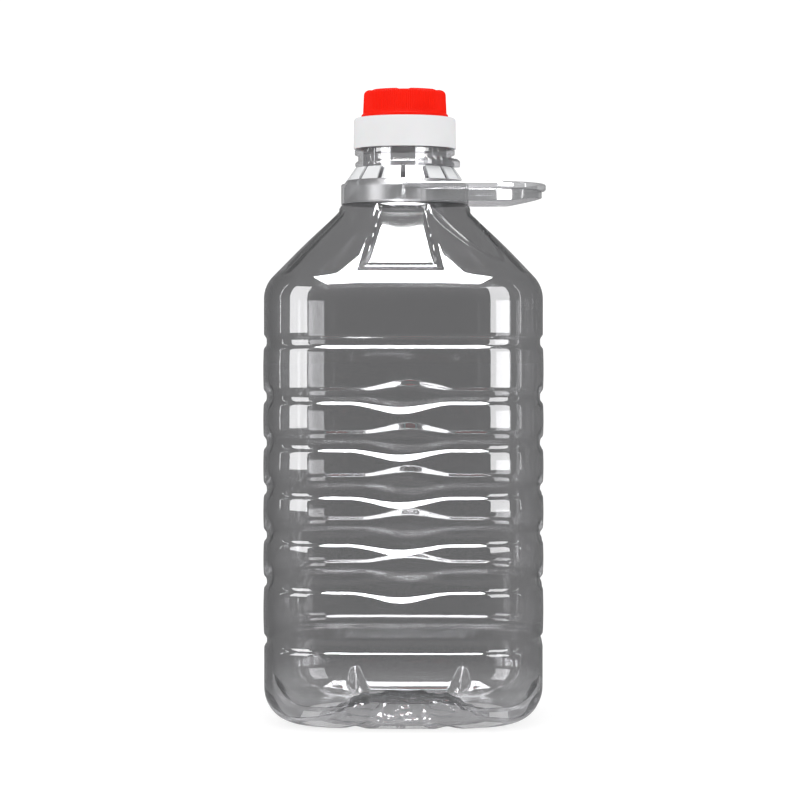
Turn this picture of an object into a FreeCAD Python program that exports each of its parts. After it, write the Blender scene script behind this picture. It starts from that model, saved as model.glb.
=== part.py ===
import FreeCAD, Part

import math
import os

# A five litre square plastic oil jug with its carrying handle and two-part cap, in millimetres.
# The origin is the centre of the base on the surface it stands on, +Z is up, the front face
# looks along -Y and the handle's loop points along +X.

# Body
BODY_HALF_WIDTH = 75.0
BODY_EXPONENT = 4.0  # superellipse exponent of the straight wall's section; 2 is a circle
BODY_WALL = 0.8
HEEL_RADIUS = 19.0
BAND_CROWN = 0.4  # how far the bands between the grooves swell

# Shoulder
SHOULDER_CORNER_Z = 232.6  # where the straight wall and the slope would meet
SHOULDER_SLOPE_DEG = 42.8  # from the vertical
SHOULDER_RADIUS = 18.0
ROUND_FROM = 38.0  # half-width from which the shoulder's section is a circle
PANEL_RISE = 10.4  # from the shoulder's corner up to the panel on each slope
PANEL_HEIGHT = 30.0
PANEL_BOTTOM_HALF = 19.5
PANEL_TOP_HALF = 12.5
PANEL_BOTTOM_INSET = 1.3  # of the flat panel's middle behind the slope, measured level
PANEL_TOP_INSET = 3.0
PANEL_EDGE = 4.0  # width of the sloping edge round the panel

# Base
BASE_WALL = 1.1
GATE_RADIUS = 7.0
PUSH_UP = 11.0
RING_WIDTH = 10.0  # of the flat ring it stands on
RIB_COUNT = 8
RIB_DEPTH = 3.0
RIB_HALF_WIDTH = 7.0
RIB_TOP_Z = 19.0
RIB_FADE = 5.0  # the ribs die away over this much beside the standing ring

# Grip grooves round the body
GROOVE_DEPTH = 1.5
GROOVE_FLANK = 3.8
GROOVE_HALF_HEIGHT = 2.4
WAVE_DEPTH = 2.5  # where a groove opens into a wave it is also deeper and softer
WAVE_FLANK = 5.4
WAVE_HALF_HEIGHT = 6.2
WAVE_HALF_WIDTH = 27.0
WAVY_GROOVES = 5
TOP_GROOVE_DROP = 30.3  # below the shoulder's corner
BOTTOM_GROOVE_Z = 43.5
WAVY_TOP_MARGIN = 29.2  # from the top groove down to the first wavy one
WAVY_BOTTOM_MARGIN = 31.3  # from the last wavy one down to the bottom groove

# Neck
NECK_RADIUS = 25.0  # of the blown wall where it meets the neck tube
NECK_WALL = 2.2
NECK_STEP = 0.3  # the neck tube stands this far proud of the blown wall, inside and out
NECK_RUN = 2.5  # straight blown wall under the neck tube
HOLLOW_SHARE = 0.8  # of that run which is the hollow curve out of the slope
BEAD_RISE = 10.6  # from the foot of the neck up to the bead that holds the handle
BEAD_REACH = 1.6
BEAD_THICKNESS = 3.0
BEAD_ROUND = 1.3
STOP_REACH = 4.7
STOP_HEIGHT = 4.6
STOP_SPAN_DEG = 64.0
FLANGE_RISE = 20.3  # from the foot of the neck up to the top of the flange
FLANGE_REACH = 1.8
FLANGE_THICKNESS = 3.2
FLANGE_ROUND = 0.6
FINISH_STEP = 0.7  # the tube inside the collar cap is this much slimmer than the neck

# Collar cap
COLLAR_HEIGHT = 16.6
COLLAR_WALL = 1.6
COLLAR_DECK = 1.8
COLLAR_DRAFT = 0.3
COLLAR_ROUND = 1.4
THREAD_ROOM = 1.6

# Top cap
CAP_HEIGHT = 14.9
CAP_FLANGE_RADIUS = 23.5
CAP_FLANGE_HEIGHT = 2.0
CAP_FLANGE_ROUND = 0.5
CAP_GRIP_RADIUS = 22.7
CAP_GRIP_TAPER = 0.6
CAP_ROUND = 2.4
CAP_SCOOPS = 6
CAP_SCOOP_RADIUS = 9.0
CAP_SCOOP_DEPTH = 0.9
CAP_SCOOP_START = 16.0  # from the axis to where the scoops start to run outward

# Handle
RING_RADIUS = 34.5
RING_HEIGHT = 11.3
RING_WALL = 1.6
FINGER_WALL = 1.2
FINGER_SLOPE_DEG = 34.5  # from the vertical
FINGER_SLOTS = 15
SLOT_WIDTH = 1.8
SLOT_LENGTH = 7.0
LOOP_REACH = 76.4
LOOP_HEIGHT = 10.3
LOOP_LIFT = 3.2  # how much the loop's lower edge rises towards its end
LOOP_LIFT_RUN = 20.0
RIM_THICKNESS = 3.7
RIM_WIDTH = 4.6
WEB_INSET = 2.2
WEB_WALL = 1.7

# Fits
SEAT_GAP = 0.3

# Sampling of the blown wall
SECTOR_COLUMNS = 29
GROOVE_ROWS = 11
PLAIN_STEP = 5.0
SPARES = 2
SPARE_STEP = 2.5

SLOPE = math.radians(SHOULDER_SLOPE_DEG)
UP = FreeCAD.Vector(0, 0, 1)
ORIGIN = FreeCAD.Vector(0, 0, 0)


def smooth(share):
    """0 to 1 with no slope at either end."""
    share = min(max(share, 0.0), 1.0)
    return share * share * (3.0 - 2.0 * share)


def slope_z(half_width):
    """Height of the shoulder's slope at a half-width."""
    return SHOULDER_CORNER_Z + (BODY_HALF_WIDTH - half_width) / math.tan(SLOPE)


# Radii and heights that follow from the sizes above
TUBE_RADIUS = NECK_RADIUS + NECK_STEP
NECK_BORE = NECK_RADIUS - NECK_WALL - NECK_STEP
NECK_FOOT_Z = slope_z(NECK_RADIUS)
TUBE_Z = NECK_FOOT_Z + NECK_RUN
BEAD_Z = NECK_FOOT_Z + BEAD_RISE
FLANGE_TOP_Z = NECK_FOOT_Z + FLANGE_RISE
FINISH_RADIUS = TUBE_RADIUS - FINISH_STEP
COLLAR_BORE = FINISH_RADIUS + THREAD_ROOM
COLLAR_RADIUS = COLLAR_BORE + COLLAR_WALL
COLLAR_Z = FLANGE_TOP_Z + SEAT_GAP
COLLAR_TOP_Z = COLLAR_Z + COLLAR_HEIGHT
LIP_Z = COLLAR_TOP_Z - COLLAR_DECK - SEAT_GAP
RING_SEAT_Z = slope_z(RING_RADIUS) + SEAT_GAP
RING_TOP_Z = RING_SEAT_Z + RING_HEIGHT
STAND_HALF_WIDTH = BODY_HALF_WIDTH - HEEL_RADIUS
PUSH_UP_HALF_WIDTH = STAND_HALF_WIDTH - RING_WIDTH


def arc_stations(centre, radius, start_deg, end_deg, count):
    """Stations along an arc of the outline: (half-width, height, tangent across, tangent up)."""
    sense = 1.0 if end_deg > start_deg else -1.0
    for i in range(count):
        turn = math.radians(start_deg + (end_deg - start_deg) * i / (count - 1))
        across, up = math.cos(turn), math.sin(turn)
        yield centre[0] + radius * across, centre[1] + radius * up, -sense * up, sense * across


def grooves():
    """(height, True where the groove opens into a wave) of each groove, from the lowest."""
    top = SHOULDER_CORNER_Z - TOP_GROOVE_DROP
    low = BOTTOM_GROOVE_Z + WAVY_BOTTOM_MARGIN
    pitch = (top - WAVY_TOP_MARGIN - low) / (WAVY_GROOVES - 1)
    wavy = [(low + pitch * i, True) for i in range(WAVY_GROOVES)]
    return [(BOTTOM_GROOVE_Z, False)] + wavy + [(top, False)]


def spread(start, end, step):
    """Even values after start, up to and including end, no more than a step apart."""
    count = math.ceil((end - start) / step - 1e-9)
    return [start + (end - start) * i / count for i in range(1, count + 1)]


def wall_heights(low, high):
    """Heights to sample on the straight wall: close in each groove, wider between them."""
    reach = WAVE_HALF_HEIGHT + WAVE_FLANK / 2
    close = 2 * reach / (GROOVE_ROWS - 1)
    heights = [low]
    for z, _ in grooves():
        if z - reach > heights[-1]:
            heights += spread(heights[-1], z - reach, PLAIN_STEP)
        heights += spread(heights[-1], z + reach, close)
    return heights + spread(heights[-1], high, PLAIN_STEP)


def base_stations():
    """The outline under the base, from the gate mark out to the standing ring."""
    run = PUSH_UP_HALF_WIDTH - GATE_RADIUS
    count = 13
    for i in range(count):
        share = i / (count - 1)
        fall = -PUSH_UP * 6.0 * share * (1.0 - share) / run
        length = math.hypot(1.0, fall)
        yield GATE_RADIUS + run * share, PUSH_UP * (1.0 - smooth(share)), 1.0 / length, fall / length


def side_stations():
    """The outline on a face's middle, from the standing ring up to the foot of the neck tube."""
    wall_top = SHOULDER_CORNER_Z - SHOULDER_RADIUS * math.tan(SLOPE / 2)
    heel_centre = (STAND_HALF_WIDTH, HEEL_RADIUS)
    stations = list(arc_stations(heel_centre, HEEL_RADIUS, -90.0, 0.0, 12))
    for z in wall_heights(HEEL_RADIUS, wall_top)[1:-1]:
        stations.append((BODY_HALF_WIDTH, z, 0.0, 1.0))
    shoulder_centre = (BODY_HALF_WIDTH - SHOULDER_RADIUS, wall_top)
    stations += arc_stations(shoulder_centre, SHOULDER_RADIUS, 0.0, SHOULDER_SLOPE_DEG, 9)
    # the slope ends in a hollow curve that turns up into the neck
    drop = HOLLOW_SHARE * NECK_RUN
    hollow = drop / math.tan(SLOPE / 2)
    slope_start = stations[-1][0]
    slope_end = NECK_RADIUS + hollow * (1.0 - math.cos(SLOPE))
    steps = 16
    for i in range(1, steps):
        across = slope_start + (slope_end - slope_start) * i / steps
        stations.append((across, slope_z(across), -math.sin(SLOPE), math.cos(SLOPE)))
    neck_centre = (NECK_RADIUS + hollow, NECK_FOOT_Z + drop)
    stations += arc_stations(neck_centre, hollow, 180.0 + SHOULDER_SLOPE_DEG, 180.0, 5)
    stations.append((NECK_RADIUS, TUBE_Z, 0.0, 1.0))
    return stations


def exponent_at(half_width, z):
    """The section is squarest on the straight wall, and a circle at the neck and the gate mark."""
    round_width = ROUND_FROM if z > HEEL_RADIUS else GATE_RADIUS
    square = (half_width - round_width) / (BODY_HALF_WIDTH - round_width)
    return 2.0 + (BODY_EXPONENT - 2.0) * smooth(square)


def wall_at(z):
    """Wall thickness: heavier under the base and towards the neck."""
    if z > SHOULDER_CORNER_Z:
        rise = (z - SHOULDER_CORNER_Z) / (TUBE_Z - SHOULDER_CORNER_Z)
        return BODY_WALL + (NECK_WALL - BODY_WALL) * smooth(rise)
    return BASE_WALL + (BODY_WALL - BASE_WALL) * smooth(z / HEEL_RADIUS)


def groove_relief(along, z):
    """Depth of the grip grooves at a distance along a face from its middle."""
    wave = 0.0
    if abs(along) < WAVE_HALF_WIDTH:
        wave = 0.5 + 0.5 * math.cos(math.pi * along / WAVE_HALF_WIDTH)
    depth = 0.0
    for groove_z, wavy in grooves():
        share = wave if wavy else 0.0
        bottom = GROOVE_DEPTH + (WAVE_DEPTH - GROOVE_DEPTH) * share
        flank = GROOVE_FLANK + (WAVE_FLANK - GROOVE_FLANK) * share
        opening = GROOVE_HALF_HEIGHT + (WAVE_HALF_HEIGHT - GROOVE_HALF_HEIGHT) * share
        inside = opening + flank / 2 - abs(z - groove_z)
        depth = max(depth, bottom * smooth(inside / flank))
    return depth


def crown_relief(z):
    """What is left off the wall so that it swells only midway between two neighbouring grooves."""
    heights = [height for height, _ in grooves()]
    for low, high in zip(heights, heights[1:]):
        if low < z < high:
            return BAND_CROWN * (1.0 - math.sin(math.pi * (z - low) / (high - low)))
    return BAND_CROWN


def panel_relief(along, round_off, z):
    """Depth of the flat panel pressed into each sloping face of the shoulder.

    The round_off is how far the face has already curved back from its middle.
    """
    rise = z - SHOULDER_CORNER_Z - PANEL_RISE
    half = PANEL_BOTTOM_HALF + (PANEL_TOP_HALF - PANEL_BOTTOM_HALF) * rise / PANEL_HEIGHT
    inset = PANEL_BOTTOM_INSET + (PANEL_TOP_INSET - PANEL_BOTTOM_INSET) * rise / PANEL_HEIGHT
    sides = smooth((half - abs(along)) / PANEL_EDGE + 0.5)
    ends = smooth(rise / PANEL_EDGE + 0.5) * smooth((PANEL_HEIGHT - rise) / PANEL_EDGE + 0.5)
    return (inset - round_off) * math.cos(SLOPE) * sides * ends


def rib_relief(angle, half_width, z):
    """Depth of the radial ribs in the push-up and up the heel, which leave the standing ring flat."""
    pitch = 2 * math.pi / RIB_COUNT
    away = abs(angle % pitch - pitch / 2) * half_width
    if half_width > PUSH_UP_HALF_WIDTH:
        along = smooth(z / RIB_FADE) * smooth(1.0 - z / RIB_TOP_Z)
    else:
        start = (half_width - GATE_RADIUS) / (PUSH_UP_HALF_WIDTH - GATE_RADIUS)
        along = smooth(start) * smooth((PUSH_UP_HALF_WIDTH - half_width) / RIB_FADE)
    return RIB_DEPTH * smooth(1.0 - away / RIB_HALF_WIDTH) * along


def relief_at(angle, along, round_off, half_width, z):
    """How far the outer skin lies inside its plain outline."""
    if half_width >= BODY_HALF_WIDTH:
        return groove_relief(along, z) + crown_relief(z)
    if z > HEEL_RADIUS:
        fade = (half_width - ROUND_FROM) / (BODY_HALF_WIDTH - ROUND_FROM)
        return panel_relief(along, round_off, z) + BAND_CROWN * smooth(fade)
    crown = BAND_CROWN * smooth(z / HEEL_RADIUS) if half_width > PUSH_UP_HALF_WIDTH else 0.0
    return rib_relief(angle, half_width, z) + crown


def wall_point(angle, station, inside):
    """A point of the blown wall's outer skin, or of its inner one if inside is True.

    The angle is from the middle of the front face, and a station is (half-width, height, tangent).
    """
    half_width, z, across, up = station
    exponent = exponent_at(half_width, z)
    total = abs(math.cos(angle)) ** exponent + abs(math.sin(angle)) ** exponent
    reach = half_width * total ** (-1.0 / exponent)
    x, y = reach * math.sin(angle), reach * math.cos(angle)
    lean_x = math.copysign(abs(x / half_width) ** (exponent - 1.0), x)
    lean_y = math.copysign(abs(y / half_width) ** (exponent - 1.0), y)
    normal = FreeCAD.Vector(lean_x * up, lean_y * up, -across).normalize()
    depth = relief_at(angle, x, half_width - y, half_width, z) + (wall_at(z) if inside else 0.0)
    point = FreeCAD.Vector(x, y, z) - normal * depth
    return FreeCAD.Vector(point.x, -point.y, point.z)


def extended(stations):
    """The stations with spare ones past both ends, which steady the surface's edges."""
    first, last = stations[0], stations[-1]
    spare = [SPARE_STEP * (i + 1) for i in range(SPARES)]
    before = [(first[0] - step * first[2], first[1] - step * first[3], *first[2:]) for step in spare]
    after = [(last[0] + step * last[2], last[1] + step * last[3], *last[2:]) for step in spare]
    return before[::-1] + stations + after


def skin(stations, inside):
    """Four turned copies of one quarter of a skin, which runs from corner to corner of a face."""
    rows = []
    columns = range(-SPARES, SECTOR_COLUMNS + SPARES)
    angles = [math.pi / 2 * (i / (SECTOR_COLUMNS - 1) - 0.5) for i in columns]
    for station in extended(stations):
        rows.append([wall_point(angle, station, inside) for angle in angles])
    surface = Part.BSplineSurface()
    surface.interpolate(rows)
    along, across = surface.getUKnots(), surface.getVKnots()
    surface.segment(along[SPARES], along[-1 - SPARES], across[SPARES], across[-1 - SPARES])
    quarters = []
    for i in range(4):
        face = surface.toShape()
        face.rotate(ORIGIN, UP, 90.0 * i)
        quarters.append(face)
    return quarters


def rims(quarters):
    """The two level rims of a skin, the shorter one first."""
    level = []
    for face in quarters:
        flattest = sorted(face.Edges, key=lambda edge: edge.BoundBox.ZLength)[:2]
        level.append(sorted(flattest, key=lambda edge: edge.Length))
    return [Part.Wire(Part.__sortEdges__([pair[i] for pair in level])) for i in (0, 1)]


def ring_between(outer_rim, inner_rim):
    """The flat face between two level rims."""
    return Part.makeFace([outer_rim, inner_rim], "Part::FaceMakerBullseye").Faces[0]


def blown_wall():
    """The blown wall as one closed solid: both its skins, each with a flat ring to stand on."""
    faces, tops = [], []
    for inside in (False, True):
        side, base = skin(side_stations(), inside), skin(list(base_stations()), inside)
        top_rim, stand_rim = rims(side)
        gate_rim, push_up_rim = rims(base)
        faces += side + base + [Part.Face(gate_rim), ring_between(stand_rim, push_up_rim)]
        tops.append(top_rim)
    shell = Part.makeShell(faces + [ring_between(*tops)])
    shell.sewShape()
    return Part.makeSolid(shell)


def cylinder(radius, bottom, height):
    """An upright cylinder about the axis."""
    return Part.makeCylinder(radius, height, FreeCAD.Vector(0, 0, bottom))


def turned(outline):
    """The solid swept once round the axis by a closed outline of (radius, height) points."""
    corners = [FreeCAD.Vector(radius, 0, z) for radius, z in outline]
    return Part.Face(Part.makePolygon(corners + corners[:1])).revolve(ORIGIN, UP, 360.0)


def rounded(solid, radius, lowest=-math.inf):
    """The solid with its full circular edges rounded, from a lowest height up."""
    circles = [edge for edge in solid.Edges if edge.Closed and hasattr(edge.Curve, "Radius")]
    return solid.makeFillet(radius, [edge for edge in circles if edge.Curve.Center.z >= lowest])


def neck():
    """The neck tube with the bead over the handle, the handle's stop and the transfer flange."""
    tube = turned([
        (NECK_BORE, TUBE_Z),
        (TUBE_RADIUS, TUBE_Z),
        (TUBE_RADIUS, FLANGE_TOP_Z),
        (FINISH_RADIUS, FLANGE_TOP_Z),
        (FINISH_RADIUS, LIP_Z),
        (NECK_BORE, LIP_Z),
    ])
    bead = rounded(cylinder(TUBE_RADIUS + BEAD_REACH, BEAD_Z, BEAD_THICKNESS), BEAD_ROUND)
    flange_z = FLANGE_TOP_Z - FLANGE_THICKNESS
    flange = cylinder(TUBE_RADIUS + FLANGE_REACH, flange_z, FLANGE_THICKNESS)
    flange = rounded(flange, FLANGE_ROUND)
    # the stop runs from beside the front round to the loop's side
    stop_radius = TUBE_RADIUS + STOP_REACH
    seat = FreeCAD.Vector(0, 0, BEAD_Z)
    stop = Part.makeCylinder(stop_radius, STOP_HEIGHT, seat, UP, STOP_SPAN_DEG)
    stop.rotate(ORIGIN, UP, -STOP_SPAN_DEG)
    bore = cylinder(NECK_RADIUS, BEAD_Z, FLANGE_TOP_Z - BEAD_Z)
    return tube.fuse([piece.cut(bore) for piece in (bead, flange, stop)]).removeSplitter()


def jug():
    """The blown body and its neck in one piece."""
    return blown_wall().fuse(neck())


def collar_cap():
    """The screw collar: a skirt over the neck's finish and a flat deck under the top cap."""
    shell = turned([
        (0.0, COLLAR_Z),
        (COLLAR_RADIUS, COLLAR_Z),
        (COLLAR_RADIUS - COLLAR_DRAFT, COLLAR_TOP_Z),
        (0.0, COLLAR_TOP_Z),
    ])
    shell = rounded(shell, COLLAR_ROUND, COLLAR_TOP_Z)
    return shell.cut(cylinder(COLLAR_BORE, COLLAR_Z, COLLAR_HEIGHT - COLLAR_DECK))


def top_cap():
    """The top cap: a flange, a slightly tapered grip and shallow scoops round its top edge."""
    top = COLLAR_TOP_Z + CAP_HEIGHT
    flange = cylinder(CAP_FLANGE_RADIUS, COLLAR_TOP_Z, CAP_FLANGE_HEIGHT)
    grip = turned([
        (0.0, COLLAR_TOP_Z),
        (CAP_GRIP_RADIUS, COLLAR_TOP_Z),
        (CAP_GRIP_RADIUS - CAP_GRIP_TAPER, top),
        (0.0, top),
    ])
    flange = rounded(flange, CAP_FLANGE_ROUND, COLLAR_TOP_Z + CAP_FLANGE_HEIGHT)
    cap = rounded(grip, CAP_ROUND, top).fuse(flange)
    outward = FreeCAD.Vector(0, -1, 0)
    start = FreeCAD.Vector(0, -CAP_SCOOP_START, top + CAP_SCOOP_RADIUS - CAP_SCOOP_DEPTH)
    for i in range(CAP_SCOOPS):
        scoop = Part.makeCylinder(CAP_SCOOP_RADIUS, CAP_GRIP_RADIUS, start, outward)
        scoop.rotate(ORIGIN, UP, 360.0 / CAP_SCOOPS * i)
        cap = cap.cut(scoop)
    return cap.removeSplitter()


def handle_ring():
    """The ring on the shoulder's slope and its cone of fingers that catch under the neck's bead."""
    bore = RING_RADIUS - RING_WALL
    lean = math.tan(math.radians(FINGER_SLOPE_DEG))
    tip_bore = TUBE_RADIUS + SEAT_GAP
    tip_z = BEAD_Z - SEAT_GAP
    ring = turned([
        (RING_RADIUS, RING_SEAT_Z),
        (RING_RADIUS, RING_TOP_Z),
        (tip_bore + FINGER_WALL + (tip_z - RING_TOP_Z) * lean, RING_TOP_Z),
        (tip_bore + FINGER_WALL, tip_z),
        (tip_bore, tip_z),
        (bore, tip_z - (bore - tip_bore) / lean),
        (bore, slope_z(bore) + SEAT_GAP),
    ])
    slots = []
    for i in range(FINGER_SLOTS):
        corner = FreeCAD.Vector(-SLOT_WIDTH / 2, -RING_RADIUS, tip_z - SLOT_LENGTH)
        slot = Part.makeBox(SLOT_WIDTH, RING_RADIUS, 2 * SLOT_LENGTH, corner)
        slot.rotate(ORIGIN, UP, 360.0 / FINGER_SLOTS * i)
        slots.append(slot)
    return ring.cut(slots)


def loop_band(inset, width, bottom, top):
    """A level band that follows the loop's outline in plan, a way in from its edge."""
    end_x = LOOP_REACH - RING_RADIUS
    solids = []
    for radius in (RING_RADIUS - inset, RING_RADIUS - inset - width):
        straight = Part.makeBox(end_x, 2 * radius, top - bottom, FreeCAD.Vector(0, -radius, bottom))
        end = Part.makeCylinder(radius, top - bottom, FreeCAD.Vector(end_x, 0, bottom))
        solids.append(cylinder(radius, bottom, top - bottom).fuse([straight, end]).removeSplitter())
    return solids[0].cut(solids[1])


def handle():
    """The carrying handle: the ring with its fingers and a loop of a flat rim over an upright web."""
    loop_bottom = RING_TOP_Z - LOOP_HEIGHT
    rim_bottom = RING_TOP_Z - RIM_THICKNESS
    rim = loop_band(0.0, RIM_WIDTH, rim_bottom, RING_TOP_Z)
    web = loop_band(WEB_INSET, WEB_WALL, loop_bottom, rim_bottom)
    lift_start = LOOP_REACH - LOOP_LIFT_RUN
    corners = [
        FreeCAD.Vector(lift_start, -RING_RADIUS, loop_bottom),
        FreeCAD.Vector(LOOP_REACH, -RING_RADIUS, loop_bottom),
        FreeCAD.Vector(LOOP_REACH, -RING_RADIUS, loop_bottom + LOOP_LIFT),
    ]
    wedge = Part.Face(Part.makePolygon(corners + corners[:1]))
    wedge = wedge.extrude(FreeCAD.Vector(0, 2 * RING_RADIUS, 0))
    inside_ring = cylinder(RING_RADIUS - RING_WALL / 2, loop_bottom, LOOP_HEIGHT)
    loop = rim.fuse(web).cut([inside_ring, wedge])
    return handle_ring().fuse(loop).removeSplitter()


NODES = {"jug": jug, "handle": handle, "collar_cap": collar_cap, "top_cap": top_cap}

os.makedirs("parts", exist_ok=True)
for name, build in NODES.items():
    build().exportStep("parts/" + name + ".step")
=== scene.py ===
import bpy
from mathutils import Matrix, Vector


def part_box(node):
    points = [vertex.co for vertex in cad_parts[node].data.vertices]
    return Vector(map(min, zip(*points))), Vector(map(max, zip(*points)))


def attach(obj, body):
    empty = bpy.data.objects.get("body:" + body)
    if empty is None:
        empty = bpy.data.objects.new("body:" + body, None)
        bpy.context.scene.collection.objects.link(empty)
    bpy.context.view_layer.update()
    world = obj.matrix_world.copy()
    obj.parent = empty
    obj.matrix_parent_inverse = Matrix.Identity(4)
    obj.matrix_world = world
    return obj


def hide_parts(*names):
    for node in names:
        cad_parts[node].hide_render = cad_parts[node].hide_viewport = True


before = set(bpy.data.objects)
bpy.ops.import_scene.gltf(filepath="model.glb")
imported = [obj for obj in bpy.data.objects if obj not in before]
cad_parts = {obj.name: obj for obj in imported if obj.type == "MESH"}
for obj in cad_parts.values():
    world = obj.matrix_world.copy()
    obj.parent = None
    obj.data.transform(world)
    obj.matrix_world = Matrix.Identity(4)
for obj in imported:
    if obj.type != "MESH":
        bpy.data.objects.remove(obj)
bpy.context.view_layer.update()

import math

import bpy
import numpy as np
from mathutils import Vector

# A clear square oil jug with a clip-fit carrying handle, a white screw collar and a red top cap.
# Lengths are in metres. An angle runs round the axis from the front (-Y) towards the handle (+X).

MM = 0.001

# Places and driving sizes from the frame
HANDLE_LOW, HANDLE_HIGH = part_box("handle")
COLLAR_LOW, COLLAR_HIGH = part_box("collar_cap")
CAP_LOW, CAP_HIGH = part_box("top_cap")
BOX_MARGIN = 0.05 * MM  # keeps the wall inside the box of the CAD jug
HALF_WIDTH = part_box("jug")[1].y - BOX_MARGIN
RING_RADIUS = -HANDLE_LOW.x
RING_SEAT_Z = HANDLE_LOW.z
FINGER_TIP_Z = HANDLE_HIGH.z
LOOP_REACH = HANDLE_HIGH.x
COLLAR_RADIUS = COLLAR_HIGH.x
CAP_RADIUS = CAP_HIGH.x
SEAT_GAP = 0.3 * MM

# Body and shoulder
BODY_EXPONENT = 4.0  # of the superellipse that is the straight wall's section
HEEL_RADIUS = 19 * MM
BAND_CROWN = 0.4 * MM
SLOPE = math.radians(42.8)
SHOULDER_RADIUS = 18 * MM
ROUND_FROM = 38 * MM  # the half-width at which the shoulder has become round
# where the straight wall and the shoulder's slope would meet if nothing were rounded
CORNER_Z = RING_SEAT_Z - SEAT_GAP - (HALF_WIDTH - RING_RADIUS) / math.tan(SLOPE)
PANEL_RISE = 10.4 * MM
PANEL_HEIGHT = 30 * MM
PANEL_BOTTOM_HALF = 19.5 * MM
PANEL_TOP_HALF = 12.5 * MM
PANEL_BOTTOM_INSET = 1.2 * MM
PANEL_TOP_INSET = 2.9 * MM
PANEL_GROOVE_DEPTH = 2.0 * MM
PANEL_GROOVE_HALF = 2.3 * MM

# Base
GATE_RADIUS = 7 * MM
GATE_RINGS = 3
GATE_RING_DEPTH = 0.6 * MM
PUSH_UP = 11 * MM
STAND_HALF_WIDTH = HALF_WIDTH - HEEL_RADIUS
PUSH_UP_HALF_WIDTH = STAND_HALF_WIDTH - 10 * MM
RIB_COUNT = 8
RIB_DEPTH = 4.2 * MM
RIB_HALF_WIDTH = 7 * MM
RIB_TOP_WIDTH_SHARE = 0.3  # of that width, where a rib ends up on the heel
RIB_TOP_Z = 21 * MM
RIB_END_SHARE = 0.5  # of a rib's run, over which its depth grows from an end
RIB_FOOT_SHARE = 0.3  # of a rib's depth, on the standing ring
RIB_FOOT_HEIGHT = 8 * MM
FOLD_DEPTH = 1.0 * MM  # of the uneven folds in the push-up
FOLD_PITCH = 7 * MM
FOLD_SWAYS = 5
FOLD_SWAY = 1.6  # radians by which the folds shift to and fro round the base
FOLD_SECOND_SWAY = 0.9
FOLD_SECOND_PHASE = 1.0

# Grip grooves
RAMP_CURVE = 0.25  # share of a flank that curves at either end
GROOVE_DEPTH = 1.45 * MM
LOWER_FLANK = 2.7 * MM
UPPER_FLANK = 2.9 * MM
LOWER_REACH = 2.4 * MM  # from a groove's middle height to the middle of its flank
UPPER_REACH = 3.2 * MM
WAVE_DEPTH = 2.9 * MM
WAVE_LOWER_FLANK = 5.7 * MM
WAVE_UPPER_FLANK = 6.2 * MM
WAVE_REACH_GAIN = 3.8 * MM
WAVE_HALF_WIDTH = 27 * MM
WAVY_GROOVES = 5
TOP_GROOVE_Z = CORNER_Z - 30.3 * MM
BOTTOM_GROOVE_Z = 43.5 * MM
WAVY_TOP_Z = TOP_GROOVE_Z - 29.2 * MM
WAVY_BOTTOM_Z = BOTTOM_GROOVE_Z + 31.3 * MM

# Neck
NECK_RADIUS = 25 * MM
NECK_FOOT_Z = CORNER_Z + (HALF_WIDTH - NECK_RADIUS) / math.tan(SLOPE)
NECK_BLEND_RISE = 2 * MM  # height of the hollow curve from the shoulder's slope into the neck
TUBE_RADIUS = 25.3 * MM
TUBE_Z = NECK_FOOT_Z + 2.5 * MM
NECK_BORE = 22.5 * MM
BEAD_Z = FINGER_TIP_Z + SEAT_GAP
BEAD_REACH = 1.6 * MM
BEAD_THICKNESS = 3 * MM
FLANGE_TOP_Z = COLLAR_LOW.z - SEAT_GAP
FLANGE_REACH = 1.8 * MM
FLANGE_THICKNESS = 3.2 * MM
FINISH_RADIUS = 24.6 * MM
STOP_ROOT = 0.2 * MM  # how far the stop reaches into the neck tube
STOP_REACH = 4.7 * MM
STOP_HEIGHT = 4.6 * MM
STOP_BEVEL_DROP = 1.2 * MM
STOP_BEVEL_REACH = 1.6 * MM
STOP_SPAN = math.radians(64)
STOP_TEETH = 7
TOOTH_DROP = 1.3 * MM

# Collar and top cap
COLLAR_DECK = 1.8 * MM
COLLAR_WALL = 1.6 * MM
COLLAR_DRAFT = 0.3 * MM
COLLAR_HOLE = NECK_BORE - 4 * MM
CAP_FLANGE_HEIGHT = 2 * MM
CAP_FLANGE_EDGE = 0.3 * MM
CAP_GRIP_RADIUS = CAP_RADIUS - 0.8 * MM
CAP_TAPER = 0.6 * MM
CAP_ROUND = 2.4 * MM
CAP_RIBS = 120
CAP_RIB_DEPTH = 0.4 * MM
CAP_RIB_END = 0.4 * MM  # left plain at either end of the grip
CAP_RIB_FADE = 1 * MM
CAP_SCOOPS = 6
CAP_SCOOP_RADIUS = 9 * MM
CAP_SCOOP_DEPTH = 0.9 * MM
CAP_SCOOP_START = 16 * MM
CAP_PLAIN_RADIUS = 13 * MM  # of the flat middle of its top

# Handle
RING_TOP_Z = RING_SEAT_Z + 11.3 * MM
RING_WALL = 1.6 * MM
FINGERS = 15
FINGER_WALL = 1.2 * MM
FINGER_LEAN = math.tan(math.radians(34.5))
SLOT_WIDTH = 2.4 * MM
SLOT_LENGTH = 7 * MM
TIP_BORE = TUBE_RADIUS + SEAT_GAP
ROOT_BORE = TIP_BORE + SLOT_LENGTH * FINGER_LEAN
ROOT_Z = FINGER_TIP_Z - SLOT_LENGTH
LOOP_HEIGHT = 10.3 * MM
LOOP_LIFT = 3.2 * MM
LOOP_LIFT_RUN = 20 * MM
RIM_THICKNESS = 3.7 * MM
RIM_WIDTH = 4.6 * MM
WEB_INSET = 2.2 * MM
WEB_WALL = 1.7 * MM

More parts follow.
